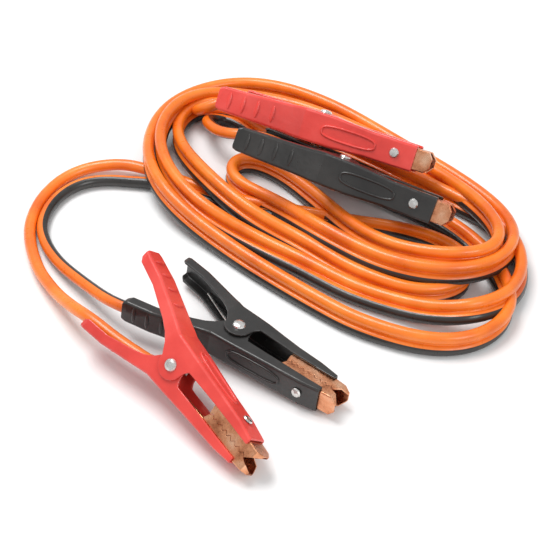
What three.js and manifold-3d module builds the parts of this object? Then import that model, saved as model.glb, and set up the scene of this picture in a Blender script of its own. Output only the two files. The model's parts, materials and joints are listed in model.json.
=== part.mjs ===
import * as THREE from "three";
import Module from "manifold-3d";

// A set of car jumper cables: four spring clamps on a coiled twin cable. Millimetres, +Z up.

// Sheet steel arms, dipped in coloured plastic
const ARM_WALL = 1.6;
const ARM_CHAMFER = 1.2;
const HANDLE_LENGTH = 71;
const JAW_ARM_LENGTH = 74;
const HANDLE_SPREAD = 34.8;
const HANDLE_HALF_WIDTH = 8.7;
const HANDLE_TAPER = 1.2;
const PIVOT_HALF_WIDTH = 11.4;
const JAW_HALF_WIDTH = 9.6;
const WEB_AT_PIVOT = 17;
const WEB_AT_JAW = 13.2;
const WEB_AT_NOSE = 10.8;
const HANDLE_FLANGE = 8;
const THROAT = 6.2;
const LOBE_RADIUS = 10;

// Copper jaws
const COPPER_WALL = 1;
const JAW_START = 40;
const JAW_REACH = 86;
const TOOTH_PITCH = 4.6;
const TOOTH_DEPTH = 2.4;
const TEETH = 8;

// Rivets and spring
const PIVOT_SHAFT_RADIUS = 3;
const PIVOT_HEAD_RADIUS = 4.4;
const PIVOT_HEAD_HEIGHT = 1.8;
const JAW_RIVET_X = 59.5;
const JAW_RIVET_RADIUS = 1.7;
const JAW_RIVET_HEAD_RADIUS = 3.6;
const SPRING_WIRE = 1.8;
const SPRING_RADIUS = 5;
const SPRING_TURNS = 2;
const SPRING_LEG_X = -46;

// Cable
const CORD_DIAMETER = 8.4;
const CORD_END_X = -17;
const STRAND_DIAMETER = 4.6;
const STRAND_END_X = 37;
const COIL_HEIGHT = 16.6;

const CLEARANCE = 0.3;

const COAT_COLOURS = { red: 0xd8322f, black: 0x2b2826 };

const wasm = await Module();
wasm.setup();

function material(color, roughness, metalness) {
  return new THREE.MeshStandardMaterial({ color, roughness, metalness });
}

const steel = () => material(0xd4d2cc, 0.25, 1);
const copper = () => material(0xc87850, 0.3, 1);
const orange = () => material(0xf07818, 0.35, 0);

// Straight-line lookup in a table of [x, value] rows with rising x.
function along(table, x) {
  if (x <= table[0][0]) return table[0][1];
  for (let i = 1; i < table.length; i++) {
    const [x0, v0] = table[i - 1];
    const [x1, v1] = table[i];
    if (x <= x1) return v0 + ((v1 - v0) * (x - x0)) / (x1 - x0);
  }
  return table[table.length - 1][1];
}

// A closed geometry from rings of points that all have the same count. Its ends are capped.
function loft(rings) {
  const n = rings[0].length;
  const points = rings.flat();
  const faces = [];
  for (let i = 0; i + 1 < rings.length; i++)
    for (let j = 0; j < n; j++) {
      const a = i * n + j;
      const b = i * n + ((j + 1) % n);
      faces.push(a, b, b + n, a, b + n, a + n);
    }
  const outline = rings[0].map((p) => new THREE.Vector2(p.y, p.z));
  const caps = THREE.ShapeUtils.triangulateShape(outline, []);
  const last = (rings.length - 1) * n;
  for (const [a, b, c] of caps) {
    const turned = THREE.ShapeUtils.isClockWise([outline[a], outline[b], outline[c]]);
    const same = turned === THREE.ShapeUtils.isClockWise(outline);
    const [p, q] = same ? [b, c] : [c, b];
    faces.push(a, q, p, last + a, last + p, last + q);
  }
  const geometry = new THREE.BufferGeometry().setFromPoints(points);
  geometry.setIndex(faces);
  return signedVolume(geometry) < 0 ? flipped(geometry) : geometry;
}

function signedVolume(geometry) {
  const p = geometry.getAttribute("position");
  const index = geometry.index.array;
  const [a, b, c] = [new THREE.Vector3(), new THREE.Vector3(), new THREE.Vector3()];
  let sum = 0;
  for (let i = 0; i < index.length; i += 3) {
    a.fromBufferAttribute(p, index[i]);
    b.fromBufferAttribute(p, index[i + 1]);
    c.fromBufferAttribute(p, index[i + 2]);
    sum += a.dot(b.cross(c)) / 6;
  }
  return sum;
}

function flipped(geometry) {
  geometry.setIndex(Array.from(geometry.index.array).reverse());
  return geometry;
}

function toSolid(geometry) {
  const mesh = new wasm.Mesh({
    numProp: 3,
    vertProperties: new Float32Array(geometry.getAttribute("position").array),
    triVerts: new Uint32Array(geometry.index.array),
  });
  mesh.merge();
  return new wasm.Manifold(mesh);
}

function fromSolid(solid) {
  const mesh = solid.getMesh();
  const geometry = new THREE.BufferGeometry();
  geometry.setAttribute("position", new THREE.BufferAttribute(mesh.vertProperties, 3));
  geometry.setIndex(new THREE.BufferAttribute(mesh.triVerts, 1));
  return geometry;
}

// A U section across x: half-width, height of the web's outer face and height of the flange edges.
function channel(x, half, web, edge, wall, chamfer) {
  const c = Math.min(chamfer, (web - edge) * 0.4);
  const left = [[-half, edge], [-half, web - c], [-half + c, web]];
  const right = [[half - c, web], [half, web - c], [half, edge]];
  const outer = [...left, ...right];
  const w = half - wall;
  const inner = [[w, edge], [w, web - wall], [-w, web - wall], [-w, edge]];
  return [...outer, ...inner].map(([y, z]) => new THREE.Vector3(x, y, z));
}

// Height of the web's outer face along an arm, and of its flange edges beside the pivot lobe
const WEB = [
  [-HANDLE_LENGTH, HANDLE_SPREAD],
  [-50, 0.55 * HANDLE_SPREAD + 0.45 * WEB_AT_PIVOT + 4],
  [-28, 0.22 * HANDLE_SPREAD + 0.78 * WEB_AT_PIVOT + 3],
  [-10, WEB_AT_PIVOT + 1],
  [6, WEB_AT_PIVOT],
  [30, 0.5 * (WEB_AT_PIVOT + WEB_AT_JAW)],
  [JAW_RIVET_X, WEB_AT_JAW],
  [JAW_ARM_LENGTH, WEB_AT_NOSE],
];

const webAt = (x) => along(WEB, x);

// Half-width of an arm. The free arm's ears lie outside the cable arm's.
function widths(atPivot) {
  return [
    [-HANDLE_LENGTH, HANDLE_HALF_WIDTH - HANDLE_TAPER],
    [-HANDLE_LENGTH + 3, HANDLE_HALF_WIDTH],
    [-2.2 * LOBE_RADIUS, 0.35 * HANDLE_HALF_WIDTH + 0.65 * atPivot],
    [-1.4 * LOBE_RADIUS, atPivot],
    [1.4 * LOBE_RADIUS, atPivot],
    [2.6 * LOBE_RADIUS, 0.5 * (atPivot + JAW_HALF_WIDTH)],
    [JAW_START, JAW_HALF_WIDTH],
    [JAW_ARM_LENGTH, JAW_HALF_WIDTH],
  ];
}

const CABLE_PIVOT_HALF = PIVOT_HALF_WIDTH - ARM_WALL - CLEARANCE;
const FREE_WIDTHS = widths(PIVOT_HALF_WIDTH);
const CABLE_WIDTHS = widths(CABLE_PIVOT_HALF);

function jawRivetHole() {
  const hole = wasm.Manifold.cylinder(20, JAW_RIVET_RADIUS + CLEARANCE, -1, 12, true);
  return hole.translate([JAW_RIVET_X, 0, WEB_AT_JAW]);
}

function armGeometry(widthTable) {
  const stations = [
    [-HANDLE_LENGTH, webAt(-HANDLE_LENGTH) - HANDLE_FLANGE + 2],
    [-HANDLE_LENGTH + 3, webAt(-HANDLE_LENGTH + 3) - HANDLE_FLANGE],
    [-50, webAt(-50) - HANDLE_FLANGE],
    [-28, webAt(-28) - HANDLE_FLANGE - 1.5],
    [-20, webAt(-20) - HANDLE_FLANGE - 3],
    [-1.45 * LOBE_RADIUS, 6],
    [-1.12 * LOBE_RADIUS, 1.5],
  ];
  for (const share of [-1, -0.92, -0.7, -0.38, 0, 0.38, 0.7, 0.92, 1]) {
    const x = share * LOBE_RADIUS;
    stations.push([x, -Math.sqrt(LOBE_RADIUS ** 2 - x ** 2) - 0.01]);
  }
  stations.push([1.1 * LOBE_RADIUS, THROAT - 3]);
  stations.push([1.3 * LOBE_RADIUS, THROAT]);
  stations.push([2.6 * LOBE_RADIUS, THROAT]);
  stations.push([JAW_START, THROAT]);
  stations.push([JAW_RIVET_X, THROAT]);
  stations.push([JAW_ARM_LENGTH, THROAT]);
  const rings = stations.map(([x, edge]) =>
    channel(x, along(widthTable, x), webAt(x), edge, ARM_WALL, ARM_CHAMFER),
  );
  const pinHole = wasm.Manifold.cylinder(60, PIVOT_SHAFT_RADIUS + CLEARANCE, -1, 16, true);
  const arm = toSolid(loft(rings)).subtract(pinHole.rotate([90, 0, 0]));
  return fromSolid(arm.subtract(jawRivetHole()));
}

// A toothed copper jaw that lines the arm's nose. The two jaws' teeth mesh half a pitch apart.
function jawGeometry(shift) {
  const half = JAW_HALF_WIDTH - ARM_WALL - CLEARANCE;
  const droop = (x) => Math.max(0, x - JAW_ARM_LENGTH) * 0.05;
  const web = (x) => webAt(Math.min(x, JAW_ARM_LENGTH)) - ARM_WALL - CLEARANCE - droop(x);
  const high = (TOOTH_DEPTH + CLEARANCE) / 2 + 0.1;
  const rings = [channel(JAW_START, half, web(JAW_START), high + 3, COPPER_WALL, 0.6)];
  for (let i = 0; i <= 2 * TEETH; i++) {
    const x = JAW_START + 1.2 + (i * TOOTH_PITCH) / 2;
    const edge = (i + shift) % 2 ? high : high - TOOTH_DEPTH;
    rings.push(channel(x, half, web(x), edge, COPPER_WALL, 0.6));
  }
  const bare = JAW_REACH - JAW_ARM_LENGTH;
  rings.push(channel(JAW_REACH - 0.3 * bare, half, web(JAW_REACH), web(JAW_REACH) - 5, COPPER_WALL, 0.6));
  rings.push(channel(JAW_REACH, 0.45 * half, web(JAW_REACH), web(JAW_REACH) - 2, COPPER_WALL, 0.4));
  return fromSolid(toSolid(loft(rings)).subtract(jawRivetHole()));
}

// A bar along y with a domed head outside each ear
function pivotRivetGeometry() {
  const seat = PIVOT_HALF_WIDTH + CLEARANCE;
  const top = seat + PIVOT_HEAD_HEIGHT;
  const half = [
    [PIVOT_SHAFT_RADIUS, 0],
    [PIVOT_SHAFT_RADIUS, seat],
    [PIVOT_HEAD_RADIUS, seat],
    [PIVOT_HEAD_RADIUS * 0.86, seat + 0.6 * PIVOT_HEAD_HEIGHT],
    [PIVOT_HEAD_RADIUS * 0.5, seat + 0.92 * PIVOT_HEAD_HEIGHT],
    [0, top],
  ];
  const lower = half.slice(1).reverse().map(([r, y]) => [r, -y]);
  const profile = [...lower, ...half.slice(1)].map(([r, y]) => new THREE.Vector2(r, y));
  return new THREE.LatheGeometry(profile, 16);
}

// The short rivet that holds a copper jaw in its arm, along z
function jawRivetGeometry() {
  const seat = WEB_AT_JAW + CLEARANCE;
  const inner = WEB_AT_JAW - ARM_WALL - COPPER_WALL - 3 * CLEARANCE;
  const profile = [
    [0, inner - 0.8],
    [JAW_RIVET_HEAD_RADIUS * 0.7, inner - 0.8],
    [JAW_RIVET_HEAD_RADIUS * 0.7, inner - 0.3],
    [JAW_RIVET_RADIUS, inner - 0.3],
    [JAW_RIVET_RADIUS, seat + 0.3],
    [JAW_RIVET_HEAD_RADIUS, seat + 0.3],
    [JAW_RIVET_HEAD_RADIUS * 0.8, seat + 1.2],
    [0, seat + 1.7],
  ].map(([r, z]) => new THREE.Vector2(r, z));
  const geometry = new THREE.LatheGeometry(profile, 12);
  geometry.rotateX(Math.PI / 2);
  return geometry.translate(JAW_RIVET_X, 0, 0);
}

function roundShape(radius, sides) {
  const shape = new THREE.Shape();
  for (let i = 0; i < sides; i++) {
    const angle = (i * 2 * Math.PI) / sides;
    const [x, y] = [radius * Math.cos(angle), radius * Math.sin(angle)];
    if (i) shape.lineTo(x, y);
    else shape.moveTo(x, y);
  }
  shape.closePath();
  return shape;
}

function rod(points, diameter, sides, steps) {
  const path = new THREE.CatmullRomCurve3(points, false, "centripetal");
  return new THREE.ExtrudeGeometry(roundShape(diameter / 2, sides), { steps, extrudePath: path });
}

// Half of the torsion spring, with its leg pressed on one handle's web
function springGeometry() {
  const start = CLEARANCE + SPRING_WIRE / 2 + 0.2;
  const pitch = SPRING_WIRE + CLEARANCE;
  const legEnd = new THREE.Vector2(SPRING_LEG_X, webAt(SPRING_LEG_X) - ARM_WALL - CLEARANCE - SPRING_WIRE / 2);
  const toEnd = Math.atan2(legEnd.y, legEnd.x);
  const tangent = toEnd - Math.acos(SPRING_RADIUS / legEnd.length());
  const count = SPRING_TURNS * 8;
  const points = [];
  for (let i = 0; i <= count; i++) {
    const turn = ((i - count) * 2 * Math.PI) / 8;
    const angle = tangent + turn;
    const y = start + (pitch * i) / 8;
    points.push(new THREE.Vector3(SPRING_RADIUS * Math.cos(angle), y, SPRING_RADIUS * Math.sin(angle)));
  }
  const side = start + pitch * SPRING_TURNS;
  points.push(new THREE.Vector3(legEnd.x * 0.5, side, points[count].z + (legEnd.y - points[count].z) * 0.5));
  points.push(new THREE.Vector3(legEnd.x, side, legEnd.y));
  return rod(points, SPRING_WIRE, 6, count + 3);
}

// The centre of the conductor in the cable arm's handle, by x. The handle's mouth is at x = -HANDLE_LENGTH.
const CORD_SIDE = HANDLE_HALF_WIDTH - HANDLE_TAPER - ARM_WALL - CORD_DIAMETER / 2 - CLEARANCE;

function cordSeat(x) {
  const z = -(webAt(x) - ARM_WALL - 3 * CLEARANCE - CORD_DIAMETER / 2);
  return new THREE.Vector3(x, CORD_SIDE, z);
}

function strandGeometry() {
  const depth = ARM_WALL + CLEARANCE + STRAND_DIAMETER / 2;
  const at = (x) => new THREE.Vector3(x, 0, -(webAt(x) - depth - 0.6));
  const start = cordSeat(CORD_END_X + 2 * CLEARANCE);
  return rod([start, at(-6), at(8), at(22), at(STRAND_END_X)], STRAND_DIAMETER, 8, 8);
}

function mesh(name, geometry, finish) {
  const made = new THREE.Mesh(geometry, finish);
  made.name = name;
  return made;
}

// One clamp about its pivot: x runs to the jaws, y along the pivot and z to the free arm.
function clamp(name, colour) {
  const coat = () => material(COAT_COLOURS[colour], 0.4, 0);
  const group = new THREE.Group();
  const cableArm = mesh(name + "_cable_arm", armGeometry(CABLE_WIDTHS), coat());
  const cableJaw = mesh(name + "_cable_jaw", jawGeometry(1), copper());
  const cableRivet = mesh(name + "_cable_jaw_rivet", jawRivetGeometry(), steel());
  const cableSpring = mesh(name + "_spring_fixed", springGeometry(), steel());
  for (const piece of [cableArm, cableJaw, cableRivet, cableSpring]) {
    piece.rotation.x = Math.PI;
    group.add(piece);
  }
  group.add(mesh(name + "_free_arm", armGeometry(FREE_WIDTHS), coat()));
  group.add(mesh(name + "_free_jaw", jawGeometry(0), copper()));
  group.add(mesh(name + "_free_jaw_rivet", jawRivetGeometry(), steel()));
  group.add(mesh(name + "_spring_moving", springGeometry(), steel()));
  group.add(mesh(name + "_pivot_rivet", pivotRivetGeometry(), steel()));
  group.add(mesh(name + "_strands", strandGeometry(), copper()));
  return group;
}

// Where each clamp lies: its pivot, the way its jaws point and the way its free arm opens
const PLACES = {
  near_red: {
    colour: "red",
    at: [-60.4, -114.6, 28.9],
    jaws: [0.579, -0.79, -0.2],
    opens: [0.665, 0.315, 0.677],
  },
  near_black: {
    colour: "black",
    at: [-24.9, -75.1, 14.6],
    jaws: [0.783, -0.62, -0.052],
    opens: [0.609, 0.781, -0.14],
  },
  far_red: {
    colour: "red",
    at: [33.6, 110.2, 41.4],
    jaws: [0.911, -0.408, -0.054],
    opens: [-0.289, -0.727, 0.623],
  },
  far_black: {
    colour: "black",
    at: [45.8, 65, 37.5],
    jaws: [0.897, -0.432, -0.096],
    opens: [-0.29, -0.738, 0.609],
  },
};

const clamps = new THREE.Group();
for (const [name, place] of Object.entries(PLACES)) {
  const made = clamp(name, place.colour);
  const x = new THREE.Vector3(...place.jaws).normalize();
  const y = new THREE.Vector3(...place.opens).cross(x).normalize();
  const z = new THREE.Vector3().crossVectors(x, y);
  made.applyMatrix4(new THREE.Matrix4().makeBasis(x, y, z).setPosition(...place.at));
  made.name = name;
  clamps.add(made);
}
clamps.updateMatrixWorld(true);
const box = new THREE.Box3().setFromObject(clamps, true);
const FLOOR = box.min.z;

// The coil lies as one flat ring, as high as its twin cable stands on edge.
const COIL_OUTSIDE = [
  [-102, 122], [-100, 140], [-94, 165], [-78, 190], [-40, 207], [2, 203], [50, 176], [97, 133],
  [140, 90], [162, 60], [172, 25], [176, -15], [166, -44], [151, -70], [125, -84], [92, -84],
  [52, -65], [16, -38], [-19, -9], [-55, 25], [-78, 48], [-92, 77],
];
const COIL_INSIDE = [[-30, 98], [-20, 101], [-2, 98], [9, 86], [14, 74], [4, 72], [-12, 80], [-25, 89]];

function outline(points, divisions) {
  const curve = new THREE.CatmullRomCurve3(points.map(([x, y]) => new THREE.Vector3(x, y, 0)), true);
  return curve.getPoints(divisions).slice(0, -1).map((p) => [p.x, p.y]);
}

function coilGeometry() {
  const ring = new wasm.CrossSection([outline(COIL_OUTSIDE, 44), outline(COIL_INSIDE, 16)], "EvenOdd");
  const edge = 3;
  const middle = ring.extrude(COIL_HEIGHT - 2 * edge).translate([0, 0, edge]);
  const core = ring.offset(-edge, "Miter").simplify(0.5).extrude(COIL_HEIGHT);
  return fromSolid(middle.add(core).translate([0, 0, FLOOR + 0.1]));
}

// The loose conductors: from inside a handle, out of its mouth, to where the twin cable joins the coil
const LEADS = {
  near_red: [
    [-127, -60, 22.5], [-135, -50, 18.5], [-148, -30, 11], [-163, -3, 6.6], [-171.5, 24, 4.7], [-175, 46, 4.5],
    [-170, 73, 4.5], [-157, 96, 4.6], [-140, 108, 5.4], [-119, 110.5, 7.4], [-104.5, 106.5, 10],
  ],
  near_black: [
    [-105, -49, 19.5], [-116, -37.5, 16], [-131, -18.5, 11], [-148, 2, 7.4], [-160, 23, 5.2], [-166.5, 44, 4.5],
    [-163, 66, 4.5], [-152.5, 84, 4.5], [-138, 94, 4.5], [-118, 96, 4.5], [-103.5, 92.5, 4.5],
  ],
  far_red: [[-31, 161.5, 29], [-44, 156.5, 26], [-56, 156, 22]],
  far_black: [[-17, 118.5, 29], [-31, 121, 26.5], [-43, 129, 22.5]],
};

function leadGeometry(name) {
  const frame = clamps.getObjectByName(name).matrix;
  const inside = [CORD_END_X, -30, -50, 1 - HANDLE_LENGTH].map((x) => cordSeat(x).applyMatrix4(frame));
  const outside = LEADS[name].map((p) => new THREE.Vector3(...p));
  const steps = 4 + 2 * outside.length;
  return rod([...inside, ...outside], CORD_DIAMETER, 8, steps);
}

const root = new THREE.Group();
root.name = "jumper_cables";
root.add(clamps);
root.add(mesh("coil", coilGeometry(), orange()));
for (const name of Object.keys(LEADS)) {
  const colour = name.endsWith("red") ? orange() : material(COAT_COLOURS.black, 0.35, 0);
  root.add(mesh(name + "_lead", leadGeometry(name), colour));
}
root.position.set(-(box.min.x + box.max.x) / 2, -(box.min.y + box.max.y) / 2, -FLOOR);

export default root;
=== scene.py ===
import json
from math import cos, pi, radians, sin

import bmesh
import bpy
import numpy as np
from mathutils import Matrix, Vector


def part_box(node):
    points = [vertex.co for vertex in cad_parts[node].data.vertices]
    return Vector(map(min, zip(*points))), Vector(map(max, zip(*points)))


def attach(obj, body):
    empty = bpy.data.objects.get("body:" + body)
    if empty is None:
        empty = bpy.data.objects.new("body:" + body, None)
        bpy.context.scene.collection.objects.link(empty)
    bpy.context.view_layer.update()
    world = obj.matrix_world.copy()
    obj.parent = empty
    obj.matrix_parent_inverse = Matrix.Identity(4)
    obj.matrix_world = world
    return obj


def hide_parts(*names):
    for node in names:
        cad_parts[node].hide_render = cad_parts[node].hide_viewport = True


# The looks of a set of car jumper cables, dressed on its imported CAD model. Metres, +Z up.

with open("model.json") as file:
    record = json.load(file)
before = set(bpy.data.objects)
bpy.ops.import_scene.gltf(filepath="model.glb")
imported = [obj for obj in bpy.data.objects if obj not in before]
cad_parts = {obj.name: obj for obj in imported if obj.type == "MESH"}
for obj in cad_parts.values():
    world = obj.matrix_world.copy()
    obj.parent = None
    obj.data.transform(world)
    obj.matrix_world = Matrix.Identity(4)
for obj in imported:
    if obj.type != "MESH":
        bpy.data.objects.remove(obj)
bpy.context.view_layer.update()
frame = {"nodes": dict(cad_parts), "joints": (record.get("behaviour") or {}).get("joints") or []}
MM = 0.001

# The camera looks along +Y from above, and the photograph is 550 pixels wide.
IMAGE_MIDDLE = 275
ELEVATION = radians(43.79)
DISTANCE = 1.25
PIXELS_PER_MM = 1.4418
SENSOR = 36.0
LENS = PIXELS_PER_MM * DISTANCE / MM * SENSOR / 550

# From the floor point in the middle of the photograph to the part's own origin, in millimetres
TO_PART = np.array([0.6252, 9.459, 0.0838])

# The twin cable
CORD_RADIUS = 4.2
HALF_PITCH = 4.4
WEB_HALF_WIDTH = 1.6
WEB_HALF_THICKNESS = 1.1
FLOOR_GAP = 0.1
RUN_STEP = 2.5
EASE = 9.0
TUBE_SIDES = 24


def make_camera():
    """A camera at the photograph's angle, aimed at the floor point in the middle of the photograph."""
    data = bpy.data.cameras.new("camera")
    data.lens = LENS
    data.sensor_width = SENSOR
    data.clip_end = 20
    camera = bpy.data.objects.new("camera", data)
    bpy.context.scene.collection.objects.link(camera)
    target = TO_PART * MM
    away = np.array([0, -cos(ELEVATION), sin(ELEVATION)])
    camera.location = target + DISTANCE * away
    camera.rotation_euler = (pi / 2 - ELEVATION, 0, 0)
    bpy.context.scene.camera = camera


def on_height(rows):
    """Points in millimetres where the sight line of each row (image x, image y, height) has that height."""
    x, y, height = rows.T
    focal = PIXELS_PER_MM * DISTANCE / MM
    forward = np.array([0, cos(ELEVATION), -sin(ELEVATION)])
    up = np.array([0, sin(ELEVATION), cos(ELEVATION)])
    eye = -forward * DISTANCE / MM
    ray = forward - np.outer((y - IMAGE_MIDDLE) / focal, up)
    ray[:, 0] += (x - IMAGE_MIDDLE) / focal
    return eye + ray * ((height - eye[2]) / ray[:, 2])[:, None]


# The twin cable's middle line, traced as listed points: image x, image y, height in mm and roll in degrees.
# At roll 0 the red conductor lies beside the other one, and at 90 it lies on top.
TWIN_RUNS = {
    "inner_turn": [
        (152, 177, 5.6, 30), (168, 182, 5.6, 20), (190, 189, 5.6, 15), (226, 202, 5.6, 10),
        (283, 213, 5.6, 10), (350, 225, 5.6, 10), (400, 232, 5.6, 15), (430, 240, 5.6, 20),
        (451, 250, 5.6, 30), (467, 263, 5.6, 50), (472, 277, 5.6, 75), (465, 289, 6.5, 100),
        (447, 296, 7.5, 115),
    ],
    "third_turn": [
        (420, 297, 8, 120), (400, 293, 8.2, 120), (350, 274, 8.2, 118), (300, 243, 8.4, 115),
        (272, 229, 12, 115), (250, 216, 17, 115), (225, 196, 20, 110), (203, 175, 20, 105),
        (186, 157, 18, 100), (177, 141, 14, 92), (177, 125, 10, 90), (187, 112, 8.4, 85),
        (208, 104, 8.4, 70), (240, 112, 8.2, 60), (290, 128, 8.2, 60), (340, 147, 8.2, 60),
        (390, 170, 8.2, 60), (430, 190, 8.2, 65), (468, 207, 8.2, 70), (500, 226, 8.2, 80),
        (518, 246, 8.2, 90), (524, 266, 8.2, 95), (521, 285, 9, 105), (508, 301, 14, 118),
    ],
    "second_turn": [
        (480, 311, 20, 125), (450, 314, 16, 135), (430, 313, 10, 140), (400, 307, 7.6, 145),
        (350, 291, 7.2, 148), (300, 264, 7.2, 145), (280, 255, 7.4, 140), (250, 240, 9, 130),
        (225, 226, 13, 120), (200, 209, 19, 112), (183, 193, 20, 105), (167, 171, 20, 98),
        (159, 150, 20, 92), (160, 132, 20, 90), (168, 115, 20, 88), (183, 103, 18, 82),
        (205, 97, 13, 75), (235, 98, 9, 68), (270, 104, 8.2, 62), (300, 111, 8.2, 60),
        (340, 126, 8.2, 60), (380, 145, 8.2, 60), (420, 168, 8.5, 62), (450, 186, 11, 66),
        (473, 202, 16, 72), (491, 219, 20, 80), (502, 237, 22, 88), (500, 251, 24, 98),
        (485, 258, 25, 108),
    ],
    "top_turn": [
        (450, 260, 25, 115), (415, 256, 23, 118), (390, 250, 19, 118), (365, 239, 16, 115),
        (345, 225, 13, 112), (327, 209, 9.5, 108), (310, 195, 8.4, 105), (291, 179, 8.4, 102),
        (270, 167, 8.4, 98), (250, 159, 8.4, 94), (235, 159, 8.4, 90), (226, 168, 8.4, 88),
        (228, 181, 8.4, 84), (240, 189, 8.4, 78), (262, 199, 8.6, 72), (285, 211, 12, 68),
        (302, 221, 18, 66), (322, 233, 20, 66), (350, 248, 20, 68), (372, 259, 20, 70),
        (400, 268, 20, 72), (425, 273, 20, 74), (450, 275, 20, 76), (475, 273, 20, 80),
        (495, 267, 19, 84), (509, 256, 17, 88), (516, 243, 14, 90), (510, 226, 10, 95),
    ],
    "outer_turn": [
        (496, 210, 8.4, 100), (476, 195, 8.4, 106), (455, 181, 8.4, 110), (430, 166, 8.4, 112),
        (400, 149, 8.4, 114), (370, 131, 8.4, 114), (340, 114, 8.4, 114), (315, 103, 8.4, 114),
        (290, 94, 8.4, 112), (262, 88, 8.4, 108), (235, 87, 8.4, 104), (210, 91, 8.4, 100),
        (188, 98, 8.4, 96), (170, 108, 8.4, 93), (157, 122, 8.4, 91), (150, 138, 9.5, 90),
        (147, 154, 14, 88), (151, 172, 18.5, 84), (161, 191, 19, 80), (175, 207, 17, 78),
        (200, 229, 11.5, 75), (225, 247, 8.6, 72), (250, 264, 8.4, 70), (280, 282, 8.4, 70),
        (300, 294, 8.4, 70), (350, 322, 8.4, 70), (400, 339, 8.4, 72), (430, 345, 8.4, 74),
        (450, 346, 8.4, 76), (470, 344, 8.4, 80), (492, 335, 8.4, 86), (507, 321, 8.4, 92),
        (512, 305, 7.5, 100), (506, 288, 6.5, 120),
    ],
    "run_to_far_end": [
        (494, 268, 5.8, 140), (480, 251, 5.6, 150), (462, 236, 5.6, 155), (440, 221, 5.6, 158),
        (400, 203, 5.6, 160), (360, 186, 5.6, 160), (320, 168, 5.6, 160), (285, 151, 5.6, 155),
        (255, 131, 5.6, 150), (230, 114, 5.6, 140),
    ],
}

# Each loose conductor in millimetres, from its clamp to the twin cable. The first four points lie where
# the part seats it in the handle, and the others were chosen one by one.
LOOSE_ENDS = {
    "near_red": [
        (-78.6, -104.7, 22.1), (-92.1, -93, 21.8), (-106.1, -80.5, 21.7), (-118.8, -67.4, 23),
        (-127, -60, 22.5), (-135, -50, 18.5), (-148, -30, 11), (-163, -3, 6.6), (-171.5, 24, 4.7),
        (-175, 46, 4.5), (-170, 73, 4.5), (-157, 96, 4.6), (-140, 108, 5.4), (-119, 110.5, 7.4),
        (-104.5, 106.5, 10),
    ],
    "near_black": [
        (-46.7, -75.3, 16), (-63.3, -69, 17.7), (-80.7, -62.1, 19.3), (-96.9, -53.6, 20.8),
        (-105, -49, 19.5), (-116, -37.5, 16), (-131, -18.5, 11), (-148, 2, 7.4), (-160, 23, 5.2),
        (-166.5, 44, 4.5), (-163, 66, 4.5), (-152.5, 84, 4.5), (-138, 94, 4.5), (-118, 96, 4.5),
        (-103.5, 92.5, 4.5),
    ],
    "far_red": [
        (22.4, 127.8, 34.9), (8.5, 138.7, 32.4), (-6.3, 150, 30.1), (-21.7, 159.8, 28.9),
        (-31, 161.5, 29), (-44, 156.5, 26), (-56, 156, 22), (-62, 163, 15), (-58, 172, 9),
        (-45, 176, 6),
    ],
    "far_black": [
        (35, 83.1, 31.9), (21.3, 94.5, 30.2), (6.7, 106.2, 28.7), (-8.4, 116.6, 28.3),
        (-17, 118.5, 29), (-31, 121, 26.5), (-43, 129, 22.5), (-51, 146, 18), (-52, 160, 10),
    ],
}


def evenly(rows, step):
    """Rows resampled at equal steps of arc length, then eased by a bell-shaped average along the line."""
    gaps = np.linalg.norm(np.diff(rows[:, :3], axis=0), axis=1)
    arc = np.concatenate([[0], np.cumsum(gaps)])
    count = int(arc[-1] / step) + 1
    places = np.linspace(0, arc[-1], count)
    fine = np.stack([np.interp(places, arc, column) for column in rows.T], axis=1)
    reach = int(3 * EASE / step)
    weight = np.exp(-0.5 * (np.arange(-reach, reach + 1) * step / EASE) ** 2)
    weight /= weight.sum()
    before = 2 * fine[0] - fine[reach:0:-1]
    after = 2 * fine[-1] - fine[-2 : -reach - 2 : -1]
    padded = np.concatenate([before, fine, after])
    return np.stack([np.convolve(column, weight, "valid") for column in padded.T], axis=1)


def unit(vectors):
    """The same directions at length 1."""
    return vectors / np.linalg.norm(vectors, axis=1)[:, None]


def upward_frames(line, roll):
    """The tangent of a line, and the direction across it that roll turns from level to straight up."""
    tangent = unit(np.gradient(line, axis=0))
    level = unit(np.cross([0, 0, 1.0], tangent))
    turned = np.cos(roll)[:, None] * level + np.sin(roll)[:, None] * np.array([0, 0, 1.0])
    across = unit(turned - (turned * tangent).sum(1)[:, None] * tangent)
    return tangent, across


def twin_line():
    """The twin cable's middle line and roll, in millimetres and radians, at even steps."""
    traced = np.array([row for run in TWIN_RUNS.values() for row in run], float)
    points = on_height(traced[:, :3])
    return evenly(np.column_stack([points, np.radians(traced[:, 3])]), RUN_STEP)


def conductor_line(side, near, far, middle):
    """One conductor from clamp to clamp: line and roll, half a pitch to one side of the middle line."""
    _, across = upward_frames(middle[:, :3], middle[:, 3])
    beside = middle[:, :3] + side * HALF_PITCH * across
    first, last = middle[0, 3], middle[-1, 3]
    start = np.array([(*p, first) for p in LOOSE_ENDS[near]])
    end = np.array([(*p, last) for p in reversed(LOOSE_ENDS[far])])
    rows = evenly(np.concatenate([start, np.column_stack([beside, middle[:, 3]]), end]), RUN_STEP)
    rows[:, 2] = np.maximum(rows[:, 2], CORD_RADIUS + FLOOR_GAP)
    rows[:, :3] += TO_PART
    return rows


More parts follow.
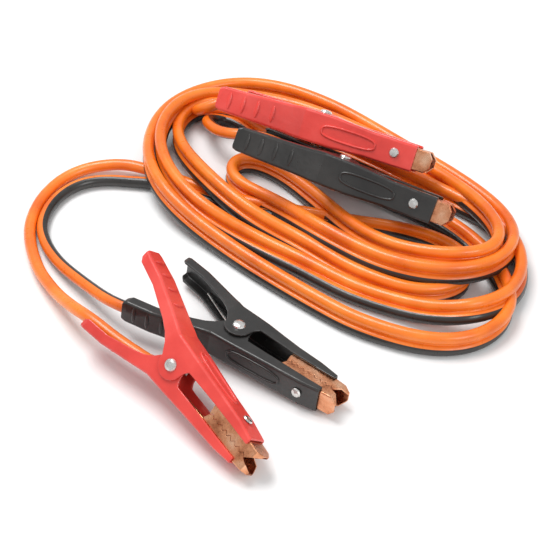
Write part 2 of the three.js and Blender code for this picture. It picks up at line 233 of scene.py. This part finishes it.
def skin(name, rings, looped=False):
    """A closed mesh through rings of points (ring, point, xyz), its ends capped, or joined if looped."""
    count, around = rings.shape[:2]
    i, j = np.meshgrid(np.arange(count if looped else count - 1), np.arange(around), indexing="ij")
    after = (i + 1) % count
    beside = (j + 1) % around
    corners = [i * around + j, i * around + beside, after * around + beside, after * around + j]
    faces = np.stack(corners, axis=-1).reshape(-1, 4).tolist()
    if not looped:
        faces.append(list(range(around)))
        faces.append(list(range((count - 1) * around, count * around)))
    mesh = bpy.data.meshes.new(name)
    mesh.from_pydata((rings.reshape(-1, 3) * MM).tolist(), [], faces)
    form = bmesh.new()
    form.from_mesh(mesh)
    bmesh.ops.recalc_face_normals(form, faces=form.faces)
    form.to_mesh(mesh)
    form.free()
    mesh.polygons.foreach_set("use_smooth", np.ones(len(mesh.polygons), bool))
    piece = bpy.data.objects.new(name, mesh)
    bpy.context.scene.collection.objects.link(piece)
    return piece


def round_rings(line, across, along, radius, sides):
    """Circles round a line: each point plus radius times (cos a of across plus sin a of the third)."""
    angle = np.arange(sides) * 2 * pi / sides
    third = np.cross(along, across)
    turn = np.cos(angle)[None, :, None] * across[:, None] + np.sin(angle)[None, :, None] * third[:, None]
    return line[:, None] + radius * turn


def conductor(name, side, rows):
    """A round conductor. Its attribute is 0 where it faces the other conductor and 1 where it faces away."""
    along, across = upward_frames(rows[:, :3], rows[:, 3])
    piece = skin(name, round_rings(rows[:, :3], across, along, CORD_RADIUS, TUBE_SIDES))
    facing = side * np.tile(np.cos(np.arange(TUBE_SIDES) * 2 * pi / TUBE_SIDES), len(rows))
    outward = (1 + facing) / 2
    mark = piece.data.attributes.new("outward", "FLOAT", "POINT")
    mark.data.foreach_set("value", outward.astype(np.float32))
    return piece


def tear_web(middle):
    """The thin web between the two conductors: a flat oblong section carried along the middle line."""
    line = middle[:, :3] + TO_PART
    along, across = upward_frames(line, middle[:, 3])
    third = np.cross(along, across)
    corners = [(1, 1), (1, -1), (-1, -1), (-1, 1)]
    rings = [line + WEB_HALF_WIDTH * u * across + WEB_HALF_THICKNESS * v * third for u, v in corners]
    return skin("tear_web", np.stack(rings, axis=1))


def lay_cable():
    """Both conductors and the web between them; the conductors start and end in the handles."""
    middle = twin_line()
    web = tear_web(middle)
    made = []
    for name, side, near, far in (
        ("red_conductor", 1, "near_red", "far_red"),
        ("black_conductor", -1, "near_black", "far_black"),
    ):
        rows = conductor_line(side, near, far, middle)
        piece = conductor(name, side, rows)
        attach(piece, "cables")
        made.append(piece)
    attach(web, "cables")
    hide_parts("coil", "near_red_lead", "far_red_lead")
    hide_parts("near_black_lead", "far_black_lead")
    return *made, web


# Where the second conductor turns black, by how far its surface faces away from the first one
DIVIDE = 0.27


def new_finish(name, roughness, metallic=0.0, coat=0.0):
    """A material with its main shader's plain values set."""
    made = bpy.data.materials.new(name)
    made.use_nodes = True
    shader = made.node_tree.nodes["Principled BSDF"]
    shader.inputs["Roughness"].default_value = roughness
    shader.inputs["Metallic"].default_value = metallic
    shader.inputs["Coat Weight"].default_value = coat
    shader.inputs["Coat Roughness"].default_value = 0.12
    return made, made.node_tree, shader


def noise(tree, scale, detail=4.0, roughness=0.55):
    """A noise on Object coordinates."""
    place = tree.nodes.new("ShaderNodeTexCoord")
    made = tree.nodes.new("ShaderNodeTexNoise")
    made.inputs["Scale"].default_value = scale
    made.inputs["Detail"].default_value = detail
    made.inputs["Roughness"].default_value = roughness
    tree.links.new(place.outputs["Object"], made.inputs["Vector"])
    return made.outputs["Fac"]


def graded(tree, value, stops):
    """A colour ramp of (place, colour) stops."""
    ramp = tree.nodes.new("ShaderNodeValToRGB")
    band = ramp.color_ramp
    band.elements[0].position, band.elements[0].color = stops[0][0], (*stops[0][1], 1)
    band.elements[1].position, band.elements[1].color = stops[-1][0], (*stops[-1][1], 1)
    for place, colour in stops[1:-1]:
        band.elements.new(place).color = (*colour, 1)
    tree.links.new(value, ramp.inputs["Fac"])
    return ramp.outputs["Color"]


def spread(tree, value, low, high):
    """A value between 0.3 and 0.7 spread over a range."""
    made = tree.nodes.new("ShaderNodeMapRange")
    made.inputs["From Min"].default_value = 0.3
    made.inputs["From Max"].default_value = 0.7
    made.inputs["To Min"].default_value = low
    made.inputs["To Max"].default_value = high
    tree.links.new(value, made.inputs["Value"])
    return made.outputs["Result"]


def relief(tree, shader, value, depth):
    """Fine relief, its depth in metres."""
    bump = tree.nodes.new("ShaderNodeBump")
    bump.inputs["Strength"].default_value = 1.0
    bump.inputs["Distance"].default_value = depth
    tree.links.new(value, bump.inputs["Height"])
    tree.links.new(bump.outputs["Normal"], shader.inputs["Normal"])


def dipped_plastic(name, colours, roughness):
    """Thick dipped coating: soft ripples where it ran, with a slightly uneven colour and gloss."""
    made, tree, shader = new_finish(name, roughness, coat=0.35)
    colour = graded(tree, noise(tree, 22, 5), list(zip((0.3, 0.52, 0.75), colours)))
    tree.links.new(colour, shader.inputs["Base Color"])
    gloss = spread(tree, noise(tree, 260, 3), roughness - 0.06, roughness + 0.12)
    tree.links.new(gloss, shader.inputs["Roughness"])
    relief(tree, shader, noise(tree, 120, 3), 0.00035)
    return made


def cable_plastic(name, inner, outer=None):
    """Glossy extruded plastic. With outer colours, it takes them where it is marked as outward."""
    made, tree, shader = new_finish(name, 0.3, coat=0.25)
    varied = noise(tree, 30, 4)
    base = graded(tree, varied, list(zip((0.3, 0.55, 0.75), inner)))
    if outer:
        mark = tree.nodes.new("ShaderNodeAttribute")
        mark.attribute_name = "outward"
        edge = graded(tree, mark.outputs["Fac"], [(DIVIDE, (0, 0, 0)), (DIVIDE + 0.03, (1, 1, 1))])
        second = graded(tree, varied, list(zip((0.3, 0.7), outer)))
        mix = tree.nodes.new("ShaderNodeMix")
        mix.data_type = "RGBA"
        tree.links.new(edge, mix.inputs["Factor"])
        tree.links.new(base, mix.inputs["A"])
        tree.links.new(second, mix.inputs["B"])
        base = mix.outputs["Result"]
    tree.links.new(base, shader.inputs["Base Color"])
    tree.links.new(spread(tree, noise(tree, 300, 3), 0.24, 0.42), shader.inputs["Roughness"])
    relief(tree, shader, noise(tree, 420, 2), 0.00006)
    return made


def metal(name, colours, roughness, scale):
    """Plated sheet or wire: tarnish in the colour, and fine scratches in the gloss and relief."""
    made, tree, shader = new_finish(name, roughness, metallic=1.0)
    colour = graded(tree, noise(tree, scale, 6), list(zip((0.3, 0.5, 0.72), colours)))
    tree.links.new(colour, shader.inputs["Base Color"])
    gloss = spread(tree, noise(tree, 8 * scale, 4), roughness - 0.08, roughness + 0.16)
    tree.links.new(gloss, shader.inputs["Roughness"])
    relief(tree, shader, noise(tree, 6 * scale, 4), 0.00008)
    return made


# Each finish's colours, from its darkest to its lightest patches
ORANGE = [(0.72, 0.12, 0.006), (0.9, 0.2, 0.012), (0.95, 0.26, 0.03)]
SOOT = [(0.012, 0.011, 0.01), (0.03, 0.027, 0.025)]
RED_DIP = [(0.6, 0.03, 0.022), (0.76, 0.055, 0.042), (0.85, 0.1, 0.08)]
BLACK_DIP = [(0.009, 0.008, 0.008), (0.017, 0.016, 0.015), (0.035, 0.032, 0.03)]
COPPER = [(0.4, 0.13, 0.06), (0.78, 0.34, 0.18), (0.92, 0.55, 0.36)]
STRAND = [(0.5, 0.18, 0.08), (0.85, 0.4, 0.2), (0.95, 0.6, 0.4)]
PLATED_STEEL = [(0.5, 0.49, 0.47), (0.75, 0.74, 0.72), (0.9, 0.89, 0.87)]
SPRING_STEEL = [(0.3, 0.29, 0.28), (0.5, 0.49, 0.47), (0.7, 0.69, 0.67)]


def make_finishes():
    """All the finishes, by the name of what wears them."""
    return {
        "red": dipped_plastic("dipped_red", RED_DIP, 0.36),
        "black": dipped_plastic("dipped_black", BLACK_DIP, 0.33),
        "orange": cable_plastic("orange_insulation", ORANGE),
        "divided": cable_plastic("orange_and_black_insulation", ORANGE, SOOT),
        "copper": metal("copper_plate", COPPER, 0.27, 90),
        "strand": metal("copper_strand", STRAND, 0.3, 240),
        "steel": metal("plated_steel", PLATED_STEEL, 0.22, 110),
        "spring": metal("spring_steel", SPRING_STEEL, 0.3, 140),
    }


def wear(piece, finish):
    """Puts a finish in every material slot of a piece."""
    if not piece.material_slots:
        piece.data.materials.append(finish)
    for place in piece.material_slots:
        place.material = finish


def dress_nodes(finishes):
    """Gives every CAD node its finish, and rounds the arms' and jaws' cut edges."""
    for name, node in frame["nodes"].items():
        colour = "red" if "_red_" in name else "black"
        kind = "orange" if name == "coil" or name.endswith("_lead") else "steel"
        if name.endswith("_arm"):
            kind = colour
        if name.endswith("_jaw"):
            kind = "copper"
        if name.endswith("_strands"):
            kind = "strand"
        if "_spring_" in name:
            kind = "spring"
        wear(node, finishes[kind])
        if name.endswith(("_arm", "_jaw")):
            weld = node.modifiers.new("weld", "WELD")
            weld.merge_threshold = 0.00001
            soften = node.modifiers.new("soften", "BEVEL")
            soften.width = (ARM_EDGE if name.endswith("_arm") else JAW_EDGE) * MM
            soften.segments = 3
            soften.limit_method = "ANGLE"
            soften.angle_limit = radians(32)


# A clamp's web, as heights over the pivot's middle by place along the arm, in millimetres
WEB_PLACES = [-71, -50, -28, -10, 6, 30, 59.5, 74]
WEB_HEIGHTS = [34.8, 30.8, 23.9, 18, 17, 15.1, 13.2, 10.8]
BEAD_MIDDLE = 25.0
BEAD_HALF_LENGTH = 20.0
BEAD_HALF_WIDTH = 4.6
BEAD_RADIUS = 0.9
RIB_PLACES = [-62, -52, -42, -31]
RIB_HALF_WIDTH = 6.2
RIB_HALF_LENGTH = 1.5
RIB_HEIGHT = 1.0
RIB_STEPS = 15
RIB_SIDES = 12
BEAD_STEPS = 72
BEAD_SIDES = 10
BEAD_ENDS = 0.75
BEAD_SIDE_FLATNESS = 0.6
BEAD_LIFT = 0.1
RIB_LIFT = 0.05
ARM_EDGE = 0.7
JAW_EDGE = 0.3


def clamp_frame(name):
    """A clamp's pivot and its own directions, from its joint and its two jaw rivets."""
    joint = next(j for j in frame["joints"] if j["name"] == name + "_opening")
    corners = [np.array(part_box(name + rivet)) for rivet in ("_free_jaw_rivet", "_cable_jaw_rivet")]
    middles = [pair.mean(axis=0) for pair in corners]
    pivot = np.array(joint["pos_m"])
    jaws = (middles[0] + middles[1]) / 2 - pivot
    jaws /= np.linalg.norm(jaws)
    opens = middles[0] - middles[1]
    opens -= opens.dot(jaws) * jaws
    opens /= np.linalg.norm(opens)
    return pivot / MM, jaws, np.cross(opens, jaws), opens


def on_web(name, side, x, y, lift):
    """Points on an arm's web: place along and across it, and lift over its outer face."""
    pivot, jaws, pin, opens = clamp_frame(name)
    height = np.interp(x, WEB_PLACES, WEB_HEIGHTS) + lift
    return pivot + np.outer(x, jaws) + np.outer(y, pin) + side * np.outer(height, opens)


def web_bead(name, side, label):
    """A raised oval bead: a round rod along a loop with x as a power of cos and y as a power of sin."""
    turn = np.arange(BEAD_STEPS) * 2 * pi / BEAD_STEPS
    x = BEAD_MIDDLE + BEAD_HALF_LENGTH * np.sign(np.cos(turn)) * np.abs(np.cos(turn)) ** BEAD_ENDS
    y = BEAD_HALF_WIDTH * np.sign(np.sin(turn)) * np.abs(np.sin(turn)) ** BEAD_SIDE_FLATNESS
    line = on_web(name, side, x, y, BEAD_LIFT)
    along = unit(np.roll(line, -1, axis=0) - np.roll(line, 1, axis=0))
    _, _, _, opens = clamp_frame(name)
    across = unit(opens - np.outer(along @ opens, np.ones(3)) * along)
    return skin(label + "_bead", round_rings(line, across, along, BEAD_RADIUS, BEAD_SIDES), looped=True)


def handle_rib(name, side, label, place, number):
    """A raised rib across the handle: a rod whose radius falls off at both ends as a half circle does."""
    share = np.sin(np.linspace(-0.5, 0.5, RIB_STEPS) * pi)
    line = on_web(name, side, np.full(RIB_STEPS, float(place)), RIB_HALF_WIDTH * share, RIB_LIFT)
    _, jaws, _, opens = clamp_frame(name)
    radius = np.sqrt(np.maximum(1 - share**2, 0.02))
    angle = np.arange(RIB_SIDES) * 2 * pi / RIB_SIDES
    wide = RIB_HALF_LENGTH * np.cos(angle)[:, None] * jaws
    ring = wide + RIB_HEIGHT * np.sin(angle)[:, None] * opens
    return skin(f"{label}_rib_{number}", line[:, None] + radius[:, None, None] * ring[None])


def emboss_arms(finishes):
    """Beads and ribs on both arms of all four clamps."""
    for name in LOOSE_ENDS:
        colour = "red" if name.endswith("red") else "black"
        for arm, side, body in (("free_arm", 1, name + "_free_side"), ("cable_arm", -1, "cables")):
            label = name + "_" + arm
            pieces = [web_bead(name, side, label)]
            pieces += [handle_rib(name, side, label, place, i) for i, place in enumerate(RIB_PLACES)]
            for piece in pieces:
                wear(piece, finishes[colour])
                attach(piece, body)


def make_floor():
    """A pale floor, large enough for every view."""
    mesh = bpy.data.meshes.new("floor")
    mesh.from_pydata([(-4, -4, 0), (4, -4, 0), (4, 4, 0), (-4, 4, 0)], [], [(0, 1, 2, 3)])
    floor = bpy.data.objects.new("floor", mesh)
    bpy.context.scene.collection.objects.link(floor)
    made, tree, shader = new_finish("floor_paper", 0.7)
    colour = graded(tree, noise(tree, 3, 2), [(0.3, (0.86, 0.86, 0.86)), (0.7, (0.9, 0.9, 0.9))])
    tree.links.new(colour, shader.inputs["Base Color"])
    mesh.materials.append(made)


def soft_light(name, place, width, power):
    """A large soft lamp aimed at the middle of the part."""
    data = bpy.data.lights.new(name, "AREA")
    data.size = width
    data.energy = power
    lamp = bpy.data.objects.new(name, data)
    bpy.context.scene.collection.objects.link(lamp)
    lamp.location = place
    away = np.array(place) / np.linalg.norm(place)
    lamp.rotation_euler = (float(np.arccos(away[2])), 0, float(np.arctan2(away[0], -away[1])))


def make_studio():
    """Even pale light from all round, with a main lamp above and behind and a weaker one in front."""
    world = bpy.data.worlds.new("studio")
    bpy.context.scene.world = world
    world.use_nodes = True
    background = world.node_tree.nodes["Background"]
    background.inputs["Color"].default_value = (1, 1, 1, 1)
    background.inputs["Strength"].default_value = 0.62
    soft_light("main_lamp", (-0.5, 0.5, 1.6), 0.9, 22)
    soft_light("front_lamp", (0.7, -1.1, 1.1), 0.7, 7)
    bpy.context.scene.view_settings.view_transform = "Standard"


make_camera()
red_conductor, black_conductor, web = lay_cable()
finishes = make_finishes()
wear(red_conductor, finishes["orange"])
wear(black_conductor, finishes["divided"])
wear(web, finishes["orange"])
dress_nodes(finishes)
emboss_arms(finishes)
make_floor()
make_studio()

bpy.context.view_layer.update()
